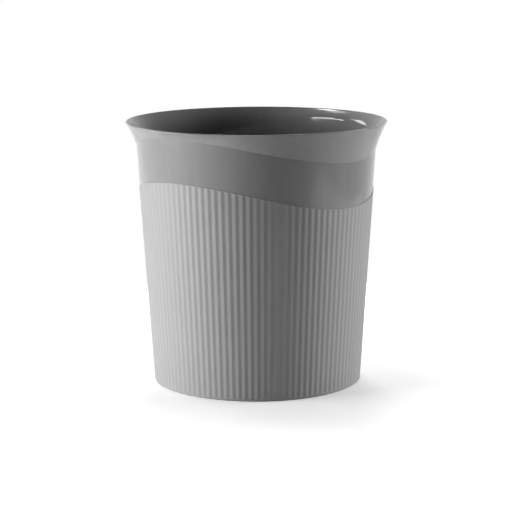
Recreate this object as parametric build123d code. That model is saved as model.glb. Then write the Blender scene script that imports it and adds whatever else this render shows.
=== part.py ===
from build123d import *
from math import atan, cos, degrees, hypot, radians, sin, sqrt, tan
import os

# Round office wastebasket in two plastic mouldings. The fluted tub has the floor and
# stands on the lower edge of its wall. The collar, with the smooth band and the flared
# rim, plugs into the tub and snaps there. Where the flare starts, and where the band
# meets the flutes, the line runs round the basket as a wave with two crests.
# Millimetres and degrees, +Z up. The origin is the centre of the base, on the surface
# that the basket stands on. Azimuth 0 is +X, the right side, and 270 is the front.

# Overall form
HEIGHT = 285.0
RIM_DIAMETER = 283.0
BASE_DIAMETER = 227.0  # over the flute crests, where the wall would reach the ground
WALL_DRAFT = 3.73  # lean of the wall from the vertical

# Wavy lines
WAVE_COUNT = 2
WAVE_LOW_AT = 321.5  # azimuth of one low point
LIP_SWING = 13.2  # rise and fall of the flare's lip from its mean height
SEAM_SWING = 14.4  # the same for the seam
FLARE_HEIGHT = 22.2  # rim down to the lip's mean height
BAND_HEIGHT = 47.2  # smooth band, from the lip's mean height down to the seam's

# Tub
TUB_WALL = 2.6  # over the flute crests
FLOOR_THICKNESS = 2.4
FLOOR_CORNER = 6.0  # inner fillet between floor and wall
FOOT_HEIGHT = 3.0  # wall's lower edge, on which the basket stands, under the floor
FOOT_WIDTH = 4.0
FOOT_SLOPE = 1.0  # width of the slope from the foot up to the floor's underside
FOOT_ROUNDING = 1.0  # outer edge of the foot
SEAM_BEVEL = 0.6  # catches the light along the tub's upper edge

# Flutes, ball-ended grooves between the crests
FLUTE_COUNT = 108
FLUTE_DEPTH = 0.45
FLUTE_RADIUS = 10.8
FLUTE_FOOT_MARGIN = 2.8  # plain wall left under the grooves
FLUTE_SEAM_MARGIN = 1.2  # plain wall left between the grooves and the bevel

# Collar
COLLAR_WALL = 2.2
BAND_INSET = 0.6  # band behind the flute crests
LIP = 0.4  # flare's lower edge proud of the band
FLARE_LEAN = 0.75  # 1 is a straight flare, less is a trumpet that opens faster above
RIDGE_RISE = 2.0  # inner ridge above the lip outside
RIM_ROUNDING = 0.8
SHOULDER = 2.0  # wall that rests on the tub's upper edge
SHOULDER_SLOPE = 1.0

# Joint between the two
SKIRT_OVERLAP = 14.0  # collar's skirt below the seam's lowest point
SKIRT_WALL = 1.8
SKIRT_LEAD = 1.5  # lead-in chamfer, up the skirt
SKIRT_LEAD_DEPTH = 0.7
BEAD_ABOVE_SKIRT_FOOT = 5.0
BEAD_HEIGHT = 0.4
BEAD_CREST = 1.0
BEAD_FLANK = 1.1
SKIRT_CLEARANCE = 0.15
BEAD_CLEARANCE = 0.15
SEAM_CLEARANCE = 0.1

# Fineness of the curved skins
RING_POINTS = 36
ROUNDING_STEPS = 4
FLARE_STEPS = 6
OVERRUN = 1.0  # by which a cutting form passes what it cuts


# Heights that follow from the sizes above
skirt_foot = HEIGHT - FLARE_HEIGHT - BAND_HEIGHT - SEAM_SWING - SKIRT_OVERLAP
bead_middle = skirt_foot + BEAD_ABOVE_SKIRT_FOOT
floor_top = FOOT_HEIGHT + FLOOR_THICKNESS
wall_slope = tan(radians(WALL_DRAFT))


def crest_radius(z):
    """Outside of the tub over its flute crests, at height z."""
    return BASE_DIAMETER / 2 + z * wall_slope


def inner_radius(z):
    """Inside of the tub's wall at height z."""
    return crest_radius(z) - TUB_WALL


def wave(azimuth):
    """Runs from 1 at the low points of the wavy lines to -1 at their crests."""
    return cos(radians(WAVE_COUNT * (azimuth - WAVE_LOW_AT)))


def lip_height(azimuth):
    """Lower edge of the flare."""
    return HEIGHT - FLARE_HEIGHT - LIP_SWING * wave(azimuth)


def seam_height(azimuth):
    """Upper edge of the tub, where the collar's shoulder rests."""
    return HEIGHT - FLARE_HEIGHT - BAND_HEIGHT - SEAM_SWING * wave(azimuth)


def ring(radius, height):
    """Closed curve round the axis; radius and height are functions of the azimuth."""
    azimuths = [360 * step / RING_POINTS for step in range(RING_POINTS + 1)]
    points = [
        (radius(a) * cos(radians(a)), radius(a) * sin(radians(a)), height(a))
        for a in azimuths[:-1]
    ]
    return Edge.make_spline(points, periodic=True, parameters=azimuths)


def level_ring(radius, z):
    """Ring of one radius at one height."""
    return ring(lambda a: radius, lambda a: z)


def wall_ring(inset, height):
    """Ring on the wall's cone, that far inside the flute crests."""
    return ring(lambda a: crest_radius(height(a)) - inset, height)


def skin(rings):
    """Solid with straight strips between its rings, closed by its level end rings."""
    strips = [Face.make_surface_from_curves(a, b) for a, b in zip(rings, rings[1:])]
    ends = [Face(Wire([rings[0]])), Face(Wire([rings[-1]]))]
    return Solid(Shell(strips + ends))


def tub_outside():
    """Tub as a full cone with its rounded lower edge, up to the basket's height."""
    with BuildSketch(Plane.XZ) as section:
        with BuildLine():
            Polyline(
                (0, 0),
                (crest_radius(0), 0),
                (crest_radius(HEIGHT), HEIGHT),
                (0, HEIGHT),
                close=True,
            )
        make_face()
        lower_edge = (crest_radius(0), 0)
        fillet(section.vertices().sort_by_distance(lower_edge)[0], FOOT_ROUNDING)
    return revolve(section.sketch, Axis.Z)


def above_seam():
    """All that lies over the tub's wavy upper edge and its bevel."""
    rings = [
        level_ring(crest_radius(HEIGHT) + OVERRUN, HEIGHT + OVERRUN),
        wall_ring(-OVERRUN, lambda a: seam_height(a) - SEAM_BEVEL - OVERRUN),
        wall_ring(SEAM_BEVEL, seam_height),
        wall_ring(TUB_WALL + OVERRUN, seam_height),
        level_ring(crest_radius(0) / 2, skirt_foot / 2),  # well inside the cavity
    ]
    return skin(rings)


def tub_cavity():
    """Space inside the tub: flat floor, corner fillet, wall and snap groove."""
    floor_corner = (inner_radius(floor_top), floor_top)
    top = HEIGHT + OVERRUN
    with BuildSketch(Plane.XZ) as section:
        with BuildLine():
            Polyline((0, floor_top), floor_corner, (inner_radius(top), top), (0, top), close=True)
        make_face()
        fillet(section.vertices().sort_by_distance(floor_corner)[0], FLOOR_CORNER)
    return revolve(section.sketch, Axis.Z) + snap_groove()


def snap_groove():
    """Groove in the tub's wall that the collar's bead snaps into."""
    depth = BEAD_HEIGHT - SKIRT_CLEARANCE + BEAD_CLEARANCE
    half_floor = BEAD_CREST / 2 + BEAD_CLEARANCE
    floor_low, floor_high = bead_middle - half_floor, bead_middle + half_floor
    low, high = floor_low - BEAD_FLANK, floor_high + BEAD_FLANK
    with BuildSketch(Plane.XZ) as section:
        with BuildLine():
            Polyline(
                (inner_radius(low) - OVERRUN, low),
                (inner_radius(low), low),
                (inner_radius(floor_low) + depth, floor_low),
                (inner_radius(floor_high) + depth, floor_high),
                (inner_radius(high), high),
                (inner_radius(high) - OVERRUN, high),
                close=True,
            )
        make_face()
    return revolve(section.sketch, Axis.Z)


def underside():
    """Hollow under the floor, inside the foot that the basket stands on."""
    foot = crest_radius(0) - FOOT_WIDTH
    with BuildSketch(Plane.XZ) as section:
        with BuildLine():
            Polyline(
                (0, -OVERRUN),
                (foot, -OVERRUN),
                (foot, 0),
                (foot - FOOT_SLOPE, FOOT_HEIGHT),
                (0, FOOT_HEIGHT),
                close=True,
            )
        make_face()
    return revolve(section.sketch, Axis.Z)


def flute_cutter(azimuth):
    """Ball-ended bar that lies along the wall's slope and cuts one groove."""
    low = FLUTE_FOOT_MARGIN
    high = seam_height(azimuth) - SEAM_BEVEL - FLUTE_SEAM_MARGIN
    length = (high - low) * hypot(1, wall_slope)
    # Half of the groove's length at each ball, from where it leaves the wall.
    run_out = sqrt(FLUTE_RADIUS**2 - (FLUTE_RADIUS - FLUTE_DEPTH) ** 2)
    bar = length - 2 * run_out
    with BuildSketch(Plane.XZ) as section:
        with BuildLine():
            Line((0, -FLUTE_RADIUS), (0, bar + FLUTE_RADIUS))
            RadiusArc((0, bar + FLUTE_RADIUS), (FLUTE_RADIUS, bar), FLUTE_RADIUS)
            Line((FLUTE_RADIUS, bar), (FLUTE_RADIUS, 0))
            RadiusArc((FLUTE_RADIUS, 0), (0, -FLUTE_RADIUS), FLUTE_RADIUS)
        make_face()
    cutter = revolve(section.sketch, Axis.Z)
    # The bar's axis runs outside the crests, so that only the depth reaches into the wall.
    lean = Rot(0, degrees(atan(wall_slope)), 0)
    seat = Pos(crest_radius(low), 0, low)
    return Rot(0, 0, azimuth) * seat * lean * Pos(FLUTE_RADIUS - FLUTE_DEPTH, 0, run_out) * cutter


def fluted_tub():
    """Lower moulding: floor, foot and fluted wall with its wavy upper edge."""
    pitch = 360 / FLUTE_COUNT
    cutters = [flute_cutter((step + 0.5) * pitch) for step in range(FLUTE_COUNT)]
    return tub_outside() - tub_cavity() - above_seam() - underside() - cutters


def flare_rings(foot_radius, foot_height, top_radius, top_height):
    """Rings of the trumpet-shaped flare; the foot follows the wave, the top is level."""
    rings = []
    for step in range(FLARE_STEPS + 1):
        share = step / FLARE_STEPS
        reach = share * (FLARE_LEAN + (1 - FLARE_LEAN) * share)
        radius = lambda a, k=reach: foot_radius(a) + k * (top_radius - foot_radius(a))
        height = lambda a, k=share: foot_height(a) + k * (top_height - foot_height(a))
        rings.append(ring(radius, height))
    return rings


def rim_rounding(wall_radius, side):
    """Rings over the rim's rounded edge; side is 1 outside and -1 inside."""
    rings = []
    for step in range(1, ROUNDING_STEPS + 1):
        turn = radians(90 * step / ROUNDING_STEPS)
        z = HEIGHT - RIM_ROUNDING * (1 - sin(turn))
        rings.append(level_ring(wall_radius - side * RIM_ROUNDING * (1 - cos(turn)), z))
    return rings


def skirt_ring(z, proud=0.0):
    """Level ring on the outside of the skirt, or that far proud of it."""
    return level_ring(inner_radius(z) - SKIRT_CLEARANCE + proud, z)


def collar_outside():
    """Collar as a full form: skirt with its bead, shoulder, band, lip, flare and rim."""
    half_crest = BEAD_CREST / 2
    half_foot = half_crest + BEAD_FLANK
    seat = lambda a: seam_height(a) + SEAM_CLEARANCE
    rings = [
        skirt_ring(skirt_foot, -SKIRT_LEAD_DEPTH),
        skirt_ring(skirt_foot + SKIRT_LEAD),
        skirt_ring(bead_middle - half_foot),
        skirt_ring(bead_middle - half_crest, BEAD_HEIGHT),
        skirt_ring(bead_middle + half_crest, BEAD_HEIGHT),
        skirt_ring(bead_middle + half_foot),
        wall_ring(TUB_WALL + SKIRT_CLEARANCE, seat),
        wall_ring(BAND_INSET, seat),
        wall_ring(BAND_INSET, lip_height),
    ]
    rim = RIM_DIAMETER / 2
    foot = lambda a: crest_radius(lip_height(a)) - BAND_INSET + LIP
    rings += flare_rings(foot, lip_height, rim, HEIGHT - RIM_ROUNDING)
    return skin(rings + rim_rounding(rim, 1))


def collar_inside():
    """Space inside the collar, one wall in from its outside."""
    skirt_inset = TUB_WALL + SKIRT_CLEARANCE + SKIRT_WALL
    band_inset = BAND_INSET + COLLAR_WALL
    shoulder = lambda a: seam_height(a) + SEAM_CLEARANCE + SHOULDER
    ridge = lambda a: lip_height(a) + RIDGE_RISE
    low = skirt_foot - OVERRUN
    rings = [
        level_ring(crest_radius(low) - skirt_inset, low),
        wall_ring(skirt_inset, shoulder),
        wall_ring(band_inset, lambda a: shoulder(a) + SHOULDER_SLOPE),
    ]
    mouth = RIM_DIAMETER / 2 - COLLAR_WALL
    foot = lambda a: crest_radius(ridge(a)) - band_inset
    rings += flare_rings(foot, ridge, mouth, HEIGHT - RIM_ROUNDING)
    rings += rim_rounding(mouth, -1)
    rings.append(level_ring(mouth + RIM_ROUNDING, HEIGHT + OVERRUN))
    return skin(rings)


def gloss_collar():
    """Upper moulding: rim, flare, smooth band, shoulder and the skirt inside the tub."""
    return collar_outside() - collar_inside()


os.makedirs("parts", exist_ok=True)
export_step(fluted_tub(), "parts/fluted_tub.step")
export_step(gloss_collar(), "parts/gloss_collar.step")
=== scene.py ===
from math import acos, asin, atan2, cos, hypot, pi, radians, sin, tan

import bmesh
import bpy
from mathutils import Matrix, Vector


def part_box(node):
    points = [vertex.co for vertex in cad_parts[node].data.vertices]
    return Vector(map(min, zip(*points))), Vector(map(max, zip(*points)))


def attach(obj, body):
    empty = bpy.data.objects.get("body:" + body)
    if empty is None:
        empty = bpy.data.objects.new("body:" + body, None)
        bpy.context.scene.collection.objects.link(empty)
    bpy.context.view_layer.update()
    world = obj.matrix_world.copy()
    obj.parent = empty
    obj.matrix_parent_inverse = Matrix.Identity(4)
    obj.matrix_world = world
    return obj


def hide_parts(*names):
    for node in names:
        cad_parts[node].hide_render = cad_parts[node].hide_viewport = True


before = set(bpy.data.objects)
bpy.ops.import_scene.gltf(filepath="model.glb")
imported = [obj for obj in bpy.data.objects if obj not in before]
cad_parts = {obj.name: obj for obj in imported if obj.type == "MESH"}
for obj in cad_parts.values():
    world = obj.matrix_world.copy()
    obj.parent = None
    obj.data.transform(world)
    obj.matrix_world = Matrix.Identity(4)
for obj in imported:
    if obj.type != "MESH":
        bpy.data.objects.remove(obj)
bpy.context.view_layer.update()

# Fluted tub
# The lower moulding, in one shot of grey polypropylene: a floor and a tapering wall whose
# lower edge is the foot. The flutes and the fine matt texture are cut and etched into the
# steel mould. The wall's wavy upper edge has a small bevel, and the collar sits on it.
MM = 0.001
collar_low, collar_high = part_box("gloss_collar")
HEIGHT = round(collar_high.z / MM, 1)
RIM_RADIUS = round(collar_high.x / MM, 1)
BASE_RADIUS = 113.5  # over the flute crests, where the wall would reach the ground
WALL_DRAFT = 3.73  # degrees from the vertical
WAVE_LOW_AT = 321.5  # azimuth of one low point; 0 is +X and 270 is the front
LIP_SWING = 13.2  # rise and fall of the flare's lip, with two crests round the basket
SEAM_SWING = 14.4  # the same for the seam
FLARE_HEIGHT = 22.2  # rim down to the lip's mean height
BAND_HEIGHT = 47.2  # the lip's mean height down to the seam's
TUB_WALL = 2.6
FLOOR = 2.4
FLOOR_CORNER = 6.0
FOOT_HEIGHT = 3.0  # ground up to the floor's underside
FOOT_WIDTH = 4.0
FOOT_SLOPE = 1.0  # width of the slope from the foot up to the floor's underside
FOOT_REBATE = 1.5  # step in along the foot, so that a thin dark line shows there
FOOT_REBATE_HEIGHT = 0.8
FOOT_ROUNDING = 0.5
SEAM_BEVEL = 0.15
BEVEL_BULGE = 0.3  # share of the bevel at which its middle lies, less than half of it
FLUTE_COUNT = 108
FLUTE_STEPS = 12  # columns of the mesh across one flute
FLUTE_DEPTH = 0.45
FLUTE_SHARPNESS = 0.985  # 0 is a sine, 1 is a zigzag with sharp crests
FLUTE_FOOT_MARGIN = 2.8  # ground up to the flutes
FLUTE_RUN_OUT = 2.0  # length of a flute's rounded end
FLUTE_END_RINGS = 0.0, 0.05, 0.12, 0.22, 0.35, 0.5, 0.7, 1.0  # shares of that length
GRAIN = 0.6 * MM
CLOUDS = 45 * MM


def crest_radius(z):
    """Outside of the tub over its flute crests."""
    return BASE_RADIUS + z * tan(radians(WALL_DRAFT))


def wave(azimuth):
    """Runs from 1 at the low points of the wavy lines to -1 at their crests."""
    return cos(2 * (azimuth - radians(WAVE_LOW_AT)))


def lip_height(azimuth):
    """Lower edge of the flare."""
    return HEIGHT - FLARE_HEIGHT - LIP_SWING * wave(azimuth)


def seam_height(azimuth):
    """Upper edge of the tub."""
    return HEIGHT - FLARE_HEIGHT - BAND_HEIGHT - SEAM_SWING * wave(azimuth)


def flute_foot(azimuth):
    """Lower end of the flutes."""
    return FLUTE_FOOT_MARGIN


def flute_head(azimuth):
    """Upper end of the flutes, right under the bevel."""
    return seam_height(azimuth) - SEAM_BEVEL


def flute_inset(azimuth, z):
    """Depth of the flutes behind their crests: a rounded zigzag with rounded ends."""
    turn = cos(azimuth * FLUTE_COUNT)
    section = acos(FLUTE_SHARPNESS * turn) / (2 * asin(FLUTE_SHARPNESS))
    section += 0.5 - pi / 4 / asin(FLUTE_SHARPNESS)
    into = min(z - flute_foot(azimuth), flute_head(azimuth) - z)
    run_out = max(0.0, 1 - into / FLUTE_RUN_OUT) ** 2
    return FLUTE_DEPTH * max(0.0, section - run_out)


def fluted(height):
    """Ring on the fluted wall, as functions of the azimuth."""
    return lambda a: crest_radius(height(a)) - flute_inset(a, height(a)), height


def level(radius, z):
    """Level round ring."""
    return lambda a: radius, lambda a: z


def on_wall(inset, height):
    """Ring on the wall's cone, that far inside the flute crests."""
    return lambda a: crest_radius(height(a)) - inset, height


def quarter(steps):
    """Sine and 1 - cosine of the turns through a rounded edge, both ends left out."""
    turns = [pi / 2 * step / steps for step in range(1, steps)]
    return [(sin(turn), 1 - cos(turn)) for turn in turns]


def shell_of_rings(name, rings, columns, closed_by_caps):
    """Skin drawn from ring to ring, in mm, as one closed piece at real size in metres."""
    bm = bmesh.new()
    bmesh.ops.create_circle(bm, segments=columns, radius=1.0)
    fresh = bm.verts[:]
    edges = bm.edges[:]
    first = edges
    for number, (radius, height) in enumerate(rings):
        if number:
            made = bmesh.ops.extrude_edge_only(bm, edges=edges)["geom"]
            fresh = [part for part in made if isinstance(part, bmesh.types.BMVert)]
            known = set(fresh)
            edges = [
                part for part in made
                if isinstance(part, bmesh.types.BMEdge) and known.issuperset(part.verts)
            ]
        for vert in fresh:
            azimuth = atan2(vert.co.y, vert.co.x)
            reach = radius(azimuth)
            vert.co = (reach * cos(azimuth), reach * sin(azimuth), height(azimuth))
    if closed_by_caps:
        for hole in (first, edges):
            bmesh.ops.contextual_create(bm, geom=hole)
    else:
        bmesh.ops.bridge_loops(bm, edges=first + edges)
    bmesh.ops.scale(bm, vec=(MM, MM, MM), verts=bm.verts)
    bmesh.ops.recalc_face_normals(bm, faces=bm.faces)
    for face in bm.faces:
        face.smooth = True
    mesh = bpy.data.meshes.new(name)
    bm.to_mesh(mesh)
    bm.free()
    mesh.set_sharp_from_angle(angle=radians(40))
    piece = bpy.data.objects.new(name, mesh)
    bpy.context.scene.collection.objects.link(piece)
    return piece


def tub_rings():
    """Rings from the middle of the underside, up the outside and down the inside."""
    foot_inner = crest_radius(0) - FOOT_WIDTH
    rings = [
        level(foot_inner - FOOT_SLOPE, FOOT_HEIGHT),
        level(foot_inner, 0.0),
        level(crest_radius(0) - FOOT_REBATE, 0.0),
        level(crest_radius(0) - FOOT_REBATE, FOOT_REBATE_HEIGHT),
        on_wall(FOOT_ROUNDING, lambda a: FOOT_REBATE_HEIGHT),
    ]
    for along, away in quarter(4):
        rings.append(on_wall(
            FOOT_ROUNDING * (1 - along), lambda a, k=away: FOOT_REBATE_HEIGHT + FOOT_ROUNDING * k
        ))
    rings.append(on_wall(0.0, lambda a: FOOT_REBATE_HEIGHT + FOOT_ROUNDING))
    for share in FLUTE_END_RINGS:
        rings.append(fluted(lambda a, k=share * FLUTE_RUN_OUT: flute_foot(a) + k))
    for share in reversed(FLUTE_END_RINGS):
        rings.append(fluted(lambda a, k=share * FLUTE_RUN_OUT: flute_head(a) - k))
    rings += [
        on_wall(0.0, lambda a: seam_height(a) - SEAM_BEVEL),
        on_wall(SEAM_BEVEL * BEVEL_BULGE, lambda a: seam_height(a) - SEAM_BEVEL * BEVEL_BULGE),
        on_wall(SEAM_BEVEL, seam_height),
        on_wall(TUB_WALL, seam_height),
    ]
    floor_top = FOOT_HEIGHT + FLOOR
    rings.append(on_wall(TUB_WALL, lambda a: floor_top + FLOOR_CORNER))
    for along, away in quarter(6):
        rings.append(on_wall(
            TUB_WALL + FLOOR_CORNER * away,
            lambda a, k=along: floor_top + FLOOR_CORNER * (1 - k),
        ))
    rings.append(level(crest_radius(floor_top) - TUB_WALL - FLOOR_CORNER, floor_top))
    return rings


def linear(hex_colour):
    """Scene-linear colour, with alpha, of an sRGB hex colour."""
    channels = [int(hex_colour[place:place + 2], 16) / 255 for place in (1, 3, 5)]
    return [c / 12.92 if c <= 0.04045 else ((c + 0.055) / 1.055) ** 2.4 for c in channels] + [1.0]


def add_node(tree, kind, settings=None, inputs=None, links=None):
    """Adds a node, sets its properties and its sockets, and links sockets to its inputs."""
    node = tree.nodes.new(kind)
    for key, value in (settings or {}).items():
        setattr(node, key, value)
    for key, value in (inputs or {}).items():
        node.inputs[key].default_value = value
    for key, source in (links or {}).items():
        tree.links.new(source, node.inputs[key])
    return node


def matt_etched_polypropylene():
    """Polypropylene, filled grey, from an etched mould: a soft broad sheen, no sharp image.

    The etched grain is about 0.15 mm across, too fine to show, so it is drawn at 0.6 mm.
    """
    material = bpy.data.materials.new("matt_etched_polypropylene")
    material.use_nodes = True
    tree = material.node_tree
    shader = tree.nodes["Principled BSDF"]
    place = add_node(tree, "ShaderNodeTexCoord").outputs["Object"]
    grain = add_node(
        tree, "ShaderNodeTexNoise",
        inputs={"Scale": 1 / GRAIN, "Detail": 3.0, "Roughness": 0.6},
        links={"Vector": place},
    )
    relief = add_node(
        tree, "ShaderNodeBump",
        inputs={"Strength": 0.12, "Distance": 0.05 * MM},
        links={"Height": grain.outputs["Fac"]},
    )
    # Faint clouding from the pigment, a few centimetres across.
    cloud = add_node(
        tree, "ShaderNodeTexNoise",
        inputs={"Scale": 1 / CLOUDS, "Detail": 2.0}, links={"Vector": place},
    )
    tint = add_node(
        tree, "ShaderNodeMix", settings={"data_type": "RGBA"},
        links={"Factor": cloud.outputs["Fac"]},
    )
    tint.inputs["A"].default_value = linear("#8e8e8e")
    tint.inputs["B"].default_value = linear("#929292")
    tree.links.new(tint.outputs["Result"], shader.inputs["Base Color"])
    tree.links.new(relief.outputs["Normal"], shader.inputs["Normal"])
    shader.inputs["Roughness"].default_value = 0.55
    shader.inputs["IOR"].default_value = 1.49
    return material


tub = shell_of_rings(
    "tub_moulding", tub_rings(), FLUTE_COUNT * FLUTE_STEPS, closed_by_caps=True
)
tub.data.materials.append(matt_etched_polypropylene())
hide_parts("fluted_tub")
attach(tub, "root")

# Gloss collar
# The upper moulding, of the same grey polypropylene: rim, flare, smooth band, and the
# skirt that plugs into the tub. Its mould is polished, so its skin mirrors the room, and
# the flare ends in a thin lip that stands proud of the band.
COLLAR_COLUMNS = 480
COLLAR_WALL = 2.2
BAND_INSET = 0.6  # band behind the flute crests
BAND_MIDDLE = 0.4  # extra ring on the band, as a share of its height below the lip
LIP = 0.7  # flare's lower edge proud of the band
LIP_ROUNDING = 0.5
FLARE_LEAN = 0.75  # 1 is a straight flare, less is a trumpet that opens faster above
FLARE_STEPS = 14
RIDGE_RISE = 2.0  # inner ridge above the lip outside
RIDGE_ROUNDING = 3.0  # from the inner ridge along the wall and up the flare
RIDGE_STEPS = 8
RIM_ROUNDING = 0.8
SHOULDER = 2.0  # wall that rests on the tub's upper edge
SHOULDER_SLOPE = 1.0
SEAM_CLEARANCE = 0.02
SKIRT_OVERLAP = 14.0  # skirt's foot below the seam's lowest point
SKIRT_WALL = 1.8
SKIRT_CLEARANCE = 0.15
SKIRT_LEAD = 1.5  # lead-in chamfer, up the skirt
SKIRT_LEAD_DEPTH = 0.7
RIPPLE_WIDTH = 6 * MM
RIPPLE_UPRIGHT = 0.12  # a ripple's width over its length


def on_flare(foot_radius, foot_height, top_radius, top_height, share):
    """Ring on the trumpet, whose foot follows the wave; share(azimuth) is 1 at its top."""
    def radius(a):
        reach = share(a) * (FLARE_LEAN + (1 - FLARE_LEAN) * share(a))
        return foot_radius(a) + reach * (top_radius - foot_radius(a))
    return radius, lambda a: foot_height(a) + share(a) * (top_height - foot_height(a))


def flare_rings(flare, start):
    """Rings up the trumpet from the share at which it starts."""
    return [
        on_flare(*flare, lambda a, k=step / FLARE_STEPS: start(a) + (1 - start(a)) * k)
        for step in range(FLARE_STEPS + 1)
    ]


def blended(low, corner, high, steps):
    """Rings that round off the corner between a low and a high ring, both left out."""
    rings = []
    for step in range(1, steps):
        u = step / steps
        weights = ((1 - u) ** 2, 2 * u * (1 - u), u ** 2)
        rings.append(tuple(
            lambda a, place=place, w=weights: sum(
                k * ring[place](a) for k, ring in zip(w, (low, corner, high))
            ) for place in (0, 1)
        ))
    return rings


def collar_rings():
    """Rings from the skirt's foot, up the outside, over the rim and down the inside."""
    skirt_foot = HEIGHT - FLARE_HEIGHT - BAND_HEIGHT - SEAM_SWING - SKIRT_OVERLAP
    seat = lambda a: seam_height(a) + SEAM_CLEARANCE
    skirt_face = TUB_WALL + SKIRT_CLEARANCE
    rings = [
        on_wall(skirt_face + SKIRT_LEAD_DEPTH, lambda a: skirt_foot),
        on_wall(skirt_face, lambda a: skirt_foot + SKIRT_LEAD),
        on_wall(skirt_face, seat),
        on_wall(BAND_INSET, seat),
        on_wall(BAND_INSET, lambda a: lip_height(a) - BAND_MIDDLE * BAND_HEIGHT),
        on_wall(BAND_INSET, lip_height),
        on_wall(BAND_INSET - LIP + LIP_ROUNDING, lip_height),
    ]
    for along, away in quarter(4):
        rings.append(on_wall(
            BAND_INSET - LIP + LIP_ROUNDING * (1 - along),
            lambda a, k=away: lip_height(a) + LIP_ROUNDING * k,
        ))
    lip_top = lambda a: lip_height(a) + LIP_ROUNDING
    lip_radius = lambda a: crest_radius(lip_top(a)) - BAND_INSET + LIP
    rings += flare_rings((lip_radius, lip_top, RIM_RADIUS, HEIGHT - RIM_ROUNDING), lambda a: 0.0)
    mouth = RIM_RADIUS - COLLAR_WALL
    top = HEIGHT - RIM_ROUNDING
    for along, away in quarter(5):
        rings.append(level(RIM_RADIUS - RIM_ROUNDING * away, top + RIM_ROUNDING * along))
    rings += [level(RIM_RADIUS - RIM_ROUNDING, HEIGHT), level(mouth + RIM_ROUNDING, HEIGHT)]
    for along, away in reversed(quarter(5)):
        rings.append(level(mouth + RIM_ROUNDING * away, top + RIM_ROUNDING * along))
    inside = BAND_INSET + COLLAR_WALL
    ridge = lambda a: lip_height(a) + RIDGE_RISE
    ridge_radius = lambda a: crest_radius(ridge(a)) - inside
    flare = ridge_radius, ridge, mouth, top
    start = lambda a: RIDGE_ROUNDING / hypot(mouth - ridge_radius(a), top - ridge(a))
    above, below = on_flare(*flare, start), on_wall(inside, lambda a: ridge(a) - RIDGE_ROUNDING)
    rings += reversed(flare_rings(flare, start))
    rings += reversed(blended(below, (ridge_radius, ridge), above, RIDGE_STEPS))
    rings.append(below)
    shoulder = lambda a: seat(a) + SHOULDER
    rings += [
        on_wall(inside, lambda a: shoulder(a) + SHOULDER_SLOPE),
        on_wall(skirt_face + SKIRT_WALL, shoulder),
        on_wall(skirt_face + SKIRT_WALL, lambda a: skirt_foot),
    ]
    return rings


def gloss_polished_polypropylene():
    """Polypropylene, filled grey, from a polished mould: a clear sharp reflection.

    Its skin has faint upright ripples, six millimetres apart and a few centimetres long,
    where the melt has run up the mould and shrunk. Its colour is also made lighter and
    darker along the same ripples, as painted streaks of reflection.
    """
    material = bpy.data.materials.new("gloss_polished_polypropylene")
    material.use_nodes = True
    tree = material.node_tree
    shader = tree.nodes["Principled BSDF"]
    place = add_node(tree, "ShaderNodeTexCoord").outputs["Object"]
    upright = add_node(
        tree, "ShaderNodeMapping",
        inputs={"Scale": (1.0, 1.0, RIPPLE_UPRIGHT)}, links={"Vector": place},
    )
    ripple_and_streaks = add_node(
        tree, "ShaderNodeTexNoise",
        inputs={"Scale": 1 / RIPPLE_WIDTH, "Detail": 2.0},
        links={"Vector": upright.outputs["Vector"]},
    )
    relief = add_node(
        tree, "ShaderNodeBump",
        inputs={"Strength": 0.25, "Distance": 0.1 * MM},
        links={"Height": ripple_and_streaks.outputs["Fac"]},
    )
    # Base colour lighter and darker along the ripples: painted streaks of reflection, on top of
    # the real ripples in the bump.
    tint = add_node(
        tree, "ShaderNodeMix", settings={"data_type": "RGBA"},
        links={"Factor": ripple_and_streaks.outputs["Fac"]},
    )
    tint.inputs["A"].default_value = linear("#878787")
    tint.inputs["B"].default_value = linear("#919191")
    tree.links.new(tint.outputs["Result"], shader.inputs["Base Color"])
    tree.links.new(relief.outputs["Normal"], shader.inputs["Normal"])
    shader.inputs["Roughness"].default_value = 0.08
    shader.inputs["IOR"].default_value = 1.49
    return material


collar = shell_of_rings(
    "collar_moulding", collar_rings(), COLLAR_COLUMNS, closed_by_caps=False
)
collar.data.materials.append(gloss_polished_polypropylene())
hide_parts("gloss_collar")
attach(collar, "root")

# Floor
# A table with a pale matt paper top that the basket stands on. Its front edge is just out
# of the picture, so that the gloss band mirrors the dark room beyond it.
TABLE_LEFT, TABLE_RIGHT = -0.8, 0.95
TABLE_FRONT, TABLE_BACK = -0.58, 0.52
GLOW_NEAR, GLOW_FAR = 0.13, 0.45  # distances from the axis between which the glow grows
GLOW_AT_FOOT = 0.34


def studio_paper():
    """Matt white paper; a glow that only the camera sees keeps it white out to its edges.

    Round the basket the glow is weaker, so that the shadow shows.
    """
    material = bpy.data.materials.new("studio_paper")
    material.use_nodes = True
    tree = material.node_tree
    shader = tree.nodes["Principled BSDF"]
    shader.inputs["Base Color"].default_value = linear("#fafafa")
    shader.inputs["Roughness"].default_value = 1.0
    shader.inputs["Specular IOR Level"].default_value = 0.0
    place = add_node(tree, "ShaderNodeTexCoord").outputs["Object"]
    reach = add_node(
        tree, "ShaderNodeVectorMath", settings={"operation": "LENGTH"}, links={0: place}
    )
    glow = add_node(
        tree, "ShaderNodeMapRange", settings={"interpolation_type": "SMOOTHSTEP"},
        inputs={
            "From Min": GLOW_NEAR, "From Max": GLOW_FAR, "To Min": GLOW_AT_FOOT, "To Max": 1.0
        },
        links={"Value": reach.outputs["Value"]},
    )
    path = add_node(tree, "ShaderNodeLightPath")
    seen_glow = add_node(
        tree, "ShaderNodeMath", settings={"operation": "MULTIPLY"},
        links={0: path.outputs["Is Camera Ray"], 1: glow.outputs["Result"]},
    )
    shader.inputs["Emission Color"].default_value = linear("#ffffff")
    tree.links.new(seen_glow.outputs["Value"], shader.inputs["Emission Strength"])
    return material


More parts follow.
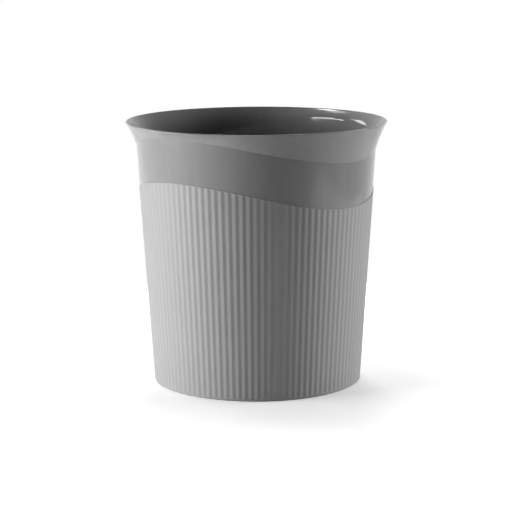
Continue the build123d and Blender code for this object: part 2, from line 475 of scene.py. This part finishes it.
bpy.ops.mesh.primitive_plane_add(size=1.0)
floor = bpy.context.object
floor.name = "studio_floor"
for corner in floor.data.vertices:
    corner.co.x = TABLE_RIGHT if corner.co.x > 0 else TABLE_LEFT
    corner.co.y = TABLE_BACK if corner.co.y > 0 else TABLE_FRONT
floor.data.materials.append(studio_paper())

# Room
# Plain white for the camera. As light it is bright right behind the basket, falls off to
# the sides, and leaves the front nearly dark.
world = bpy.data.worlds.new("studio")
bpy.context.scene.world = world
world.use_nodes = True
tree = world.node_tree
backdrop = tree.nodes["Background"]
backdrop.inputs["Color"].default_value = linear("#ffffff")
direction = add_node(
    tree, "ShaderNodeSeparateXYZ",
    links={"Vector": add_node(tree, "ShaderNodeTexCoord").outputs["Generated"]},
)
daylight = add_node(
    tree, "ShaderNodeMapRange", settings={"interpolation_type": "SMOOTHSTEP"},
    inputs={"From Min": 0.3, "From Max": 1.0, "To Min": 0.02, "To Max": 0.9},
    links={"Value": direction.outputs["Y"]},
)
path = add_node(tree, "ShaderNodeLightPath")
seen = add_node(
    tree, "ShaderNodeMath", settings={"operation": "MAXIMUM"},
    links={0: path.outputs["Is Camera Ray"], 1: daylight.outputs["Result"]},
)
tree.links.new(seen.outputs["Value"], backdrop.inputs["Strength"])

# Soft boxes
# The key box at the left lights the basket, and the fill box further off at the right
# lights its other side. The front stays darker between them. The others stand higher and
# draw the highlights on the rim, the flare and the inner ridge.


def soft_box(name, azimuth, distance, height, aim, size, power):
    """Area lamp at that azimuth, distance and height, turned to the axis at height aim."""
    lamp = bpy.data.lights.new(name, "AREA")
    lamp.shape = "RECTANGLE"
    lamp.size, lamp.size_y = size
    lamp.energy = power
    box = bpy.data.objects.new(name, lamp)
    bpy.context.scene.collection.objects.link(box)
    turn = radians(azimuth)
    drop = atan2(height - aim, distance)
    box.matrix_world = (
        Matrix.Rotation(turn, 4, "Z")
        @ Matrix.Translation((distance, 0, height))
        @ Matrix.Rotation(pi / 2, 4, "Z")
        @ Matrix.Rotation(pi / 2 - drop, 4, "X")
    )


# Degrees, three times metres, width and height in metres, and watts.
soft_box("key_box", 190, 1.42, 0.25, 0.15, (1.05, 0.46), 28)
soft_box("ridge_box", 197, 2.2, 0.75, 0.28, (1.0, 0.3), 8)
soft_box("fill_box", 6, 2.2, 0.4, 0.15, (1.3, 0.5), 44)
soft_box("top_box", 90, 1.4, 1.85, 0.2, (0.7, 0.5), 14)
soft_box("rim_box", 138, 1.6, 1.25, 0.28, (0.5, 0.5), 5)
soft_box("slot_box", 106, 1.6, 1.8, 0.28, (0.15, 0.2), 0.25)

# Camera
# At the photograph's viewing angle: two metres in front, looking ten degrees down.
CAMERA_PLACE = (0.0, -2.0254, 0.5098)
CAMERA_PITCH = 10.479
CAMERA_YAW = 0.028
CAMERA_ROLL = -0.282
lens = bpy.data.cameras.new("camera")
lens.lens = 132.0
lens.sensor_width = 36.0
camera = bpy.data.objects.new("camera", lens)
bpy.context.scene.collection.objects.link(camera)
camera.matrix_world = (
    Matrix.Translation(CAMERA_PLACE)
    @ Matrix.Rotation(radians(CAMERA_YAW), 4, "Z")
    @ Matrix.Rotation(radians(90 - CAMERA_PITCH), 4, "X")
    @ Matrix.Rotation(radians(CAMERA_ROLL), 4, "Z")
)
bpy.context.scene.camera = camera

bpy.context.scene.view_settings.view_transform = "Standard"
